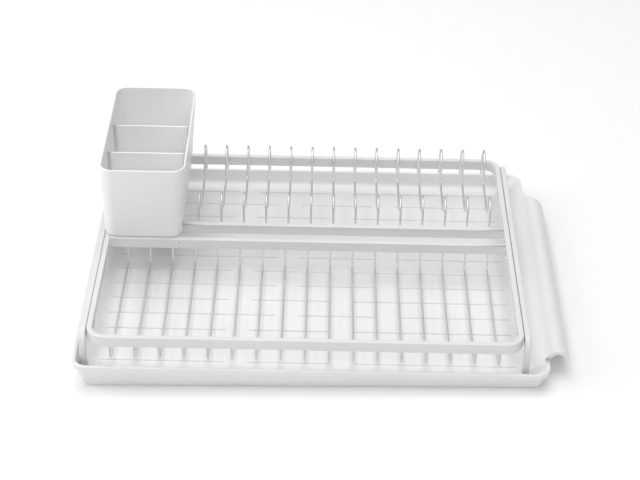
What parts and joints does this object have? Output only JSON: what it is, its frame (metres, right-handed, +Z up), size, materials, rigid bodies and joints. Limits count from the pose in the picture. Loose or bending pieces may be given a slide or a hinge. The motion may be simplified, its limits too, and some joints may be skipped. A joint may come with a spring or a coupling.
{
  "type": "dish drying rack",
  "caption": "Low wire dish rack with plate arches and a cup basket on two leg bars, standing in a sloping drip tray with a spout-side handle, with a lift-out cutlery holder.",
  "frame": {"origin": "bottom centre of the whole object's box, on the table the tray stands on", "axes": "+X towards the spout and handle side of the tray, +Y from the cup basket to the plate arches, +Z up"},
  "size_m": [0.4692, 0.344, 0.1393],
  "materials": {
    "tray_plastic": "fine satin moulding, very light grey",
    "holder_plastic": "fine satin moulding, very light grey",
    "coated_steel": "light grey powder coat on steel bar",
    "wire_steel": "bright drawn stainless wire",
    "rivet_steel": "polished dome rivets",
    "pad_rubber": "light grey rubber"
  },
  "bodies": {
    "tray": {"drip_tray": "tray_plastic"},
    "rack": {"rim_hoop": "coated_steel", "front_crossbar": "coated_steel", "rear_crossbar": "coated_steel", "bay_divider_bar": "coated_steel", "left_leg_bar": "coated_steel", "right_leg_bar": "coated_steel", "left_front_rivet": "rivet_steel", "left_front_middle_rivet": "rivet_steel", "left_rear_middle_rivet": "rivet_steel", "left_rear_rivet": "rivet_steel", "right_front_rivet": "rivet_steel", "right_front_middle_rivet": "rivet_steel", "right_rear_middle_rivet": "rivet_steel", "right_rear_rivet": "rivet_steel", "bay_front_rivet": "rivet_steel", "bay_rear_rivet": "rivet_steel", "left_front_foot_pad": "pad_rubber", "left_rear_foot_pad": "pad_rubber", "right_front_foot_pad": "pad_rubber", "right_rear_foot_pad": "pad_rubber", "basket_wire_1": "wire_steel", "basket_wire_2": "wire_steel", "basket_wire_3": "wire_steel", "basket_wire_4": "wire_steel", "basket_wire_5": "wire_steel", "basket_wire_6": "wire_steel", "basket_wire_7": "wire_steel", "basket_wire_8": "wire_steel", "basket_wire_9": "wire_steel", "basket_wire_10": "wire_steel", "basket_wire_11": "wire_steel", "basket_wire_12": "wire_steel", "basket_wire_13": "wire_steel", "basket_wire_14": "wire_steel", "basket_wire_15": "wire_steel", "basket_wire_16": "wire_steel", "basket_wire_17": "wire_steel", "plate_wire_1": "wire_steel", "plate_wire_2": "wire_steel", "plate_wire_3": "wire_steel", "plate_wire_4": "wire_steel", "plate_wire_5": "wire_steel", "plate_wire_6": "wire_steel", "plate_wire_7": "wire_steel", "plate_wire_8": "wire_steel", "plate_wire_9": "wire_steel", "plate_wire_10": "wire_steel", "plate_wire_11": "wire_steel", "plate_wire_12": "wire_steel", "plate_wire_13": "wire_steel", "plate_wire_14": "wire_steel"},
    "holder": {"cutlery_holder": "holder_plastic"}
  },
  "joints": [
    {"name": "rack_lift", "type": "slide", "parent": "tray", "child": "rack", "axis": [0, 0, 1], "range_m": [0, 0.12]},
    {"name": "holder_lift", "type": "slide", "parent": "rack", "child": "holder", "axis": [0, 0, 1], "range_m": [0, 0.12]}
  ]
}
